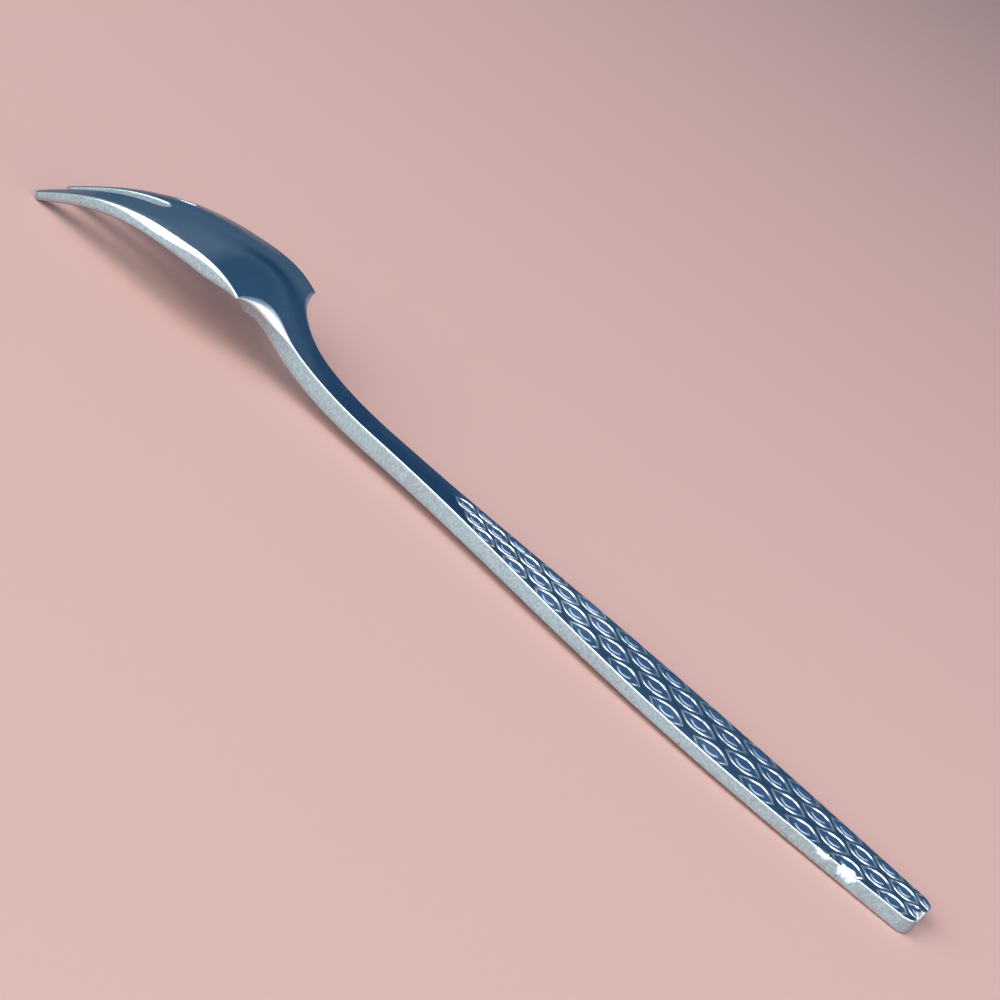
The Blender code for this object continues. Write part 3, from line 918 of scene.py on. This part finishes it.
place, across, depth = flat.T
slope = slope_of(underside, place, BEND_STEP)
length = np.hypot(1.0, slope)
flare = 1.0 + CROWN_FLARE - CROWN_FLARE * (across / half_width(place)) ** 2
crown = neck_fade(place) * flare * across * across / (2.0 * HEAD_CROWN)
lifted = underside(place) - crown + depth / length
bent = np.column_stack([place - depth * slope / length, across, lifted])
low, high = (np.array(corner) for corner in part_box("fork"))
print("bent fork in mm:", np.round(np.ptp(bent, axis=0) / MM, 3).tolist(),
      "part:", np.round((high - low) / MM, 3).tolist())
bent = low + (bent - bent.min(0)) * (high - low) / np.ptp(bent, axis=0)
move_points(fork, bent)

deselect()
fork.select_set(True)
bpy.context.view_layer.objects.active = fork
bpy.ops.object.shade_smooth_by_angle(angle=SMOOTH_ANGLE)
triangles = sum(len(face.vertices) - 2 for face in fork.data.polygons)
print("fork:", triangles, "triangles")

# %% [markdown]
# ## Steel
#
# The whole fork is one steel with four finishes: the faces are polished, the dishes of the leaves
# are satin with fine lines along them and tinted blue, a painted blue reflection, the rims, edges
# and knocks are worn rougher and painted near white, a painted highlight, and the walls are left
# dull and pitted from the cutting press, with the pits painted dark, a painted shade. Four
# materials would end hard at the faces' borders. So one material reads the finish from values that
# are stored with the points, and blends between them.

# %% Helpers for nodes
def new_material(name):
    """A node material and its nodes and links."""
    material = bpy.data.materials.new(name)
    material.use_nodes = True
    return material, material.node_tree.nodes, material.node_tree.links


def add(kind, sockets=(), **settings):
    """A node with some of its settings and sockets filled in."""
    made = nodes.new(kind)
    for name, value in settings.items():
        setattr(made, name, value)
    for name, value in sockets:
        if isinstance(value, bpy.types.NodeSocket):
            links.new(value, made.inputs[name])
        else:
            made.inputs[name].default_value = value
    return made


def maths(operation, *terms):
    """One operation on sockets or numbers."""
    return add("ShaderNodeMath", list(enumerate(terms)), operation=operation).outputs[0]


def between(value, low_end, high_end):
    """0 below the low end, 1 above the high end, smooth between."""
    sockets = [("Value", value), ("From Min", low_end), ("From Max", high_end)]
    return add("ShaderNodeMapRange", sockets, interpolation_type="SMOOTHSTEP").outputs[0]


def below(value, low_end, high_end):
    """1 below the low end, 0 above the high end, smooth between."""
    return maths("SUBTRACT", 1.0, between(value, low_end, high_end))


def blend(share, first, second):
    """A mix of two colours."""
    made = add("ShaderNodeMix", data_type="RGBA")
    # On a colour mix the share is socket 0, and the two colours are sockets 6 and 7.
    for socket, value in zip((made.inputs[0], made.inputs[6], made.inputs[7]), (share, first, second)):
        if isinstance(value, bpy.types.NodeSocket):
            links.new(value, socket)
        else:
            socket.default_value = value
    return made.outputs[2]


# %% Patterns in the steel
steel, nodes, links = new_material("stainless_steel")
spot = add("ShaderNodeTexCoord").outputs["Object"]
wall, dish, bright = (add("ShaderNodeAttribute", attribute_name=n).outputs["Fac"]
                      for n in ("wall", "dish", "bright"))


def noise(scale, detail, vector=spot):
    """Cloudy noise, in cycles per metre."""
    sockets = [("Vector", vector), ("Scale", scale), ("Detail", detail)]
    return add("ShaderNodeTexNoise", sockets).outputs[0]


def dots(scale, inner, outer):
    """Small round dots, 1 in their middles."""
    found = add("ShaderNodeTexVoronoi", [("Vector", spot), ("Scale", scale)]).outputs["Distance"]
    return below(found, inner, outer)


def stretched(along, across, turn):
    """Coordinates drawn out along the fork, for lines."""
    return add("ShaderNodeMapping", [("Vector", spot), ("Rotation", (0.0, 0.0, turn)),
                                     ("Scale", (along, across, across))]).outputs[0]


smudge = noise(130.0, 2.0)
mottle = noise(800.0, 4.0)
lines = noise(1.0, 2.0, stretched(220.0, 3600.0, 0.0))
scratch_one = between(noise(1.0, 1.0, stretched(140.0, 5200.0, 0.5)), 0.68, 0.74)
scratch_two = between(noise(1.0, 1.0, stretched(160.0, 6100.0, -0.9)), 0.69, 0.75)
scratches = maths("MAXIMUM", scratch_one, scratch_two)
pits = maths("MULTIPLY", dots(900.0, 0.1, 0.24), between(noise(260.0, 2.0), 0.54, 0.66))
specks = maths("MULTIPLY", dots(800.0, 0.05, 0.12), between(noise(170.0, 2.0), 0.57, 0.66))
haze = between(noise(70.0, 3.0), 0.46, 0.68)
grain = between(noise(2600.0, 3.0), 0.25, 0.75)
print("patterns:", len(nodes), "nodes")

# %% Colour of the steel
POLISHED = (0.56, 0.60, 0.63, 1.0)
SATIN_BLUE_REFLECTION = (0.44, 0.60, 0.80, 1.0)
WALL_DARK, WALL_PALE = (0.34, 0.42, 0.45, 1.0), (0.50, 0.59, 0.62, 1.0)
PIT_SHADE = (0.12, 0.14, 0.15, 1.0)
WEAR_AND_HIGHLIGHT = (0.88, 0.91, 0.93, 1.0)
PIT_SHADE_SHARE, SPECK_SHARE = 0.6, 0.7

wall_colour = blend(grain, WALL_DARK, WALL_PALE)
# The pits are painted dark, a painted shade in them; the bump dents them as well.
wall_colour = blend(maths("MULTIPLY", pits, PIT_SHADE_SHARE), wall_colour, PIT_SHADE)
# The dishes' blue tint is a painted reflection of the blue surroundings; the steel itself is neutral.
colour = blend(dish, POLISHED, SATIN_BLUE_REFLECTION)
colour = blend(wall, colour, wall_colour)
# Rims, edges, knocks and small specks are painted near white: a painted highlight on steel that is also
# rougher there from wear.
wear_and_highlight = maths("MAXIMUM", bright, maths("MULTIPLY", maths("SUBTRACT", specks, wall), SPECK_SHARE))
colour = blend(wear_and_highlight, colour, WEAR_AND_HIGHLIGHT)
print("colour:", len(nodes), "nodes")

# %% Roughness and bump of the steel
POLISHED_ROUGH, SMUDGE_ROUGH = 0.06, 0.08
SATIN_ROUGH, LINES_ROUGH = 0.12, 0.2
WALL_ROUGH, MOTTLE_ROUGH = 0.4, 0.16
HAZE_ROUGH, SCRATCH_ROUGH, WORN_ROUGH = 0.1, 0.14, 0.26
SCRATCH_DEPTH = 0.3
BUMP_DEPTH, BUMP_STRENGTH = 0.03 * MM, 0.5

rough = maths("MULTIPLY_ADD", smudge, SMUDGE_ROUGH, POLISHED_ROUGH)
satin_rough = maths("MULTIPLY_ADD", lines, LINES_ROUGH, SATIN_ROUGH)
wall_rough = maths("MULTIPLY_ADD", mottle, MOTTLE_ROUGH, WALL_ROUGH)
for pattern, more in ((haze, HAZE_ROUGH), (scratches, SCRATCH_ROUGH), (dish, satin_rough),
                      (wear_and_highlight, WORN_ROUGH), (wall, wall_rough)):
    rough = maths("ADD", rough, maths("MULTIPLY", pattern, more))

height = maths("MULTIPLY", dish, lines)
height = maths("ADD", height, maths("MULTIPLY", wall, maths("SUBTRACT", mottle, pits)))
height = maths("SUBTRACT", height, maths("MULTIPLY", scratches, SCRATCH_DEPTH))
relief_bump = add("ShaderNodeBump", [("Height", height), ("Strength", BUMP_STRENGTH),
                                     ("Distance", BUMP_DEPTH)])
print("roughness and bump:", len(nodes), "nodes")

# %% Put the steel together
# The tint is painted shade: it keeps the steel's mirror dark and bluish where it is seen at a slant, as
# on the far margin of the head.
SLANT_SHADE_TINT = (0.25, 0.4, 0.55, 1.0)

shader = nodes["Principled BSDF"]
shader.inputs["Metallic"].default_value = 1.0
shader.inputs["Specular Tint"].default_value = SLANT_SHADE_TINT
links.new(colour, shader.inputs["Base Color"])
links.new(rough, shader.inputs["Roughness"])
links.new(relief_bump.outputs[0], shader.inputs["Normal"])
fork.data.materials.clear()
fork.data.materials.append(steel)
print("steel:", len(nodes), "nodes")

# %% [markdown]
# ## Floor and light
#
# The fork lies on a plain rosy floor. A large soft light stands low on the near left and shows as the
# bright band along the head. Three smaller ones help it: one above for the leaves' rims, one on the
# right for the edge behind the shoulder, and a bluish strip in front for the walls. Polished steel
# shows its surroundings: the far side of the studio is dark blue, which the faces mirror, a little
# lighter on the left, and the near side is pale, which the dull walls pick up.

# %% Floor
FLOOR_SIZE = 6.0
ROSY = (0.64, 0.385, 0.335, 1.0)
FLOOR_ROUGH, FLOOR_SHINE = 0.9, 0.15

deselect()
bpy.ops.mesh.primitive_plane_add(size=FLOOR_SIZE, location=(0.0, 0.0, 0.0))
floor = bpy.context.object
floor.name = "floor"
floor_paint, nodes, links = new_material("pale_floor")
floor_shader = nodes["Principled BSDF"]
floor_shader.inputs["Base Color"].default_value = ROSY
floor_shader.inputs["Roughness"].default_value = FLOOR_ROUGH
floor_shader.inputs["Specular IOR Level"].default_value = FLOOR_SHINE
floor.data.materials.append(floor_paint)
print("floor:", FLOOR_SIZE, "m wide")

# %% Soft lights
BLUISH = (0.62, 0.9, 1.0)


def soft_light(name, location, target, size, power):
    """A rectangular soft light aimed at a point."""
    bpy.ops.object.light_add(type="AREA", location=location)
    light = bpy.context.object
    light.name = name
    light.rotation_euler = (Vector(target) - Vector(location)).to_track_quat("-Z", "Y").to_euler()
    light.data.shape = "RECTANGLE"
    light.data.size, light.data.size_y = size
    light.data.energy = power
    return light


soft_light("large_softbox", (-0.96, -1.2, 1.2), (-0.02, 0.0, 0.0), (2.1, 2.0), 38.0)
soft_light("top_softbox", (0.75, -0.6, 1.8), (0.0, 0.0, 0.0), (1.2, 1.2), 11.0)
soft_light("right_softbox", (0.85, -0.2, 0.34), (-0.04, 0.0, 0.01), (0.7, 0.55), 3.2)
front_strip = soft_light("front_strip", (-0.25, -1.0, 0.28), (0.0, 0.0, 0.0), (1.8, 0.5), 6.0)
front_strip.data.color = BLUISH

# %% Surroundings
# The far side's colour changes with the height of the direction, from level (0) to straight up (1).
LEVEL, STRAIGHT_UP = (0.24, 0.32, 0.40, 1.0), (0.10, 0.20, 0.37, 1.0)
BETWEEN_THEM = ((0.2, (0.19, 0.28, 0.38)), (0.3, (0.11, 0.19, 0.30)), (0.4, (0.033, 0.09, 0.20)),
                (0.5, (0.035, 0.10, 0.20)), (0.58, (0.075, 0.16, 0.27)), (0.7, (0.05, 0.12, 0.22)),
                (0.85, (0.05, 0.13, 0.25)))
LEFT_SIDE, LEFT_SHARE = (0.22, 0.31, 0.42, 1.0), 0.6
NEAR_SIDE = (0.66, 0.78, 0.82, 1.0)
# Each is whole below the first number and gone above the second, by the direction's X, Y and Z.
LEFT_END = (-0.58, -0.34)
NEAR_END = (-0.5, 0.1)
NEAR_TOP = (0.65, 0.85)

world = bpy.data.worlds.new("studio")
bpy.context.scene.world = world
world.use_nodes = True
nodes, links = world.node_tree.nodes, world.node_tree.links
split = add("ShaderNodeSeparateXYZ", [(0, add("ShaderNodeTexCoord").outputs["Generated"])])
ramp = add("ShaderNodeValToRGB", [(0, split.outputs["Z"])])
stops = ramp.color_ramp.elements
stops[0].position, stops[0].color = 0.0, LEVEL
stops[1].position, stops[1].color = 1.0, STRAIGHT_UP
for position, shade in BETWEEN_THEM:
    stops.new(position).color = (*shade, 1.0)
on_left = maths("MULTIPLY", below(split.outputs["X"], *LEFT_END), LEFT_SHARE)
far_side = blend(on_left, ramp.outputs[0], LEFT_SIDE)
near_and_low = maths("MULTIPLY", below(split.outputs["Y"], *NEAR_END),
                     below(split.outputs["Z"], *NEAR_TOP))
around = blend(near_and_low, far_side, NEAR_SIDE)
links.new(around, nodes["Background"].inputs["Color"])
bpy.context.scene.view_settings.view_transform = "Standard"
print("surroundings:", len(stops), "colours by height")

# %% [markdown]
# ## Hand over
#
# The detailed fork stands for the part's one solid and moves with its one body.

# %% Ride on the part and finish
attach(fork, "root")
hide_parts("fork")
